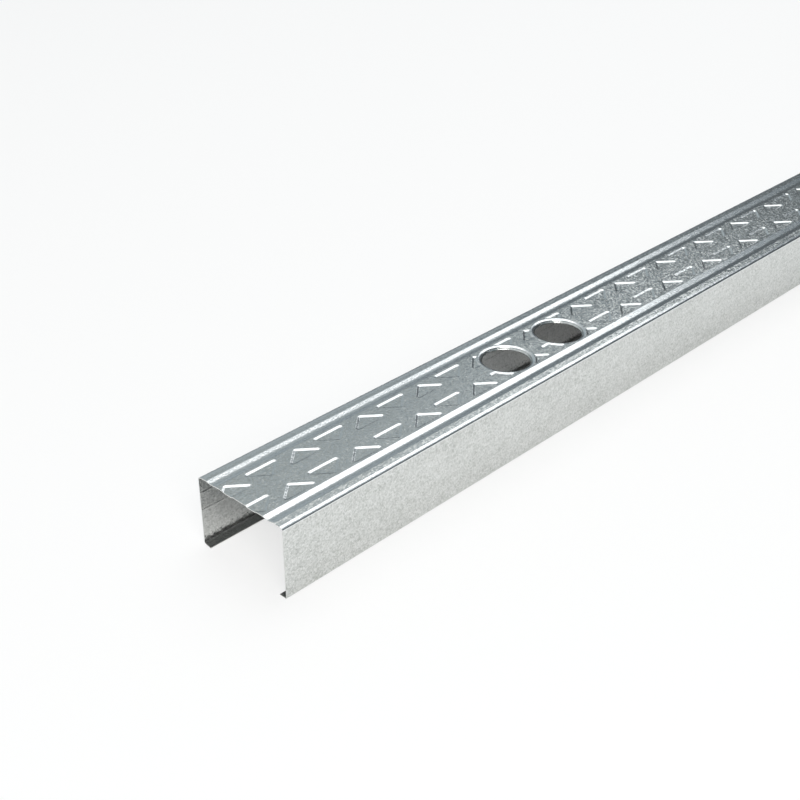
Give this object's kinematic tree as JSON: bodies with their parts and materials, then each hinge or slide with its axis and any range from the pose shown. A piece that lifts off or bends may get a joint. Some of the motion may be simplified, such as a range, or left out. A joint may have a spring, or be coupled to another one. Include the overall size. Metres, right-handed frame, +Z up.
{
  "type": "steel stud",
  "caption": "Straight lipped C-section wall stud of thin galvanised sheet, with pressed grooves, embossed triangles and collared round service holes in its web.",
  "frame": {"origin": "on the floor, under the middle of the stud as it lies with its web up", "axes": "+X along the stud, from the end shown near in the picture to the far end; +Y across it, from the front flange to the rear one; +Z up, out of the web's face"},
  "size_m": [4, 0.075, 0.05],
  "materials": {
    "galvanised_sheet": "galvanised zinc coating, cool grey, satin with a fine spangle"
  },
  "bodies": {
    "root": {"stud": "galvanised_sheet"}
  },
  "joints": []
}
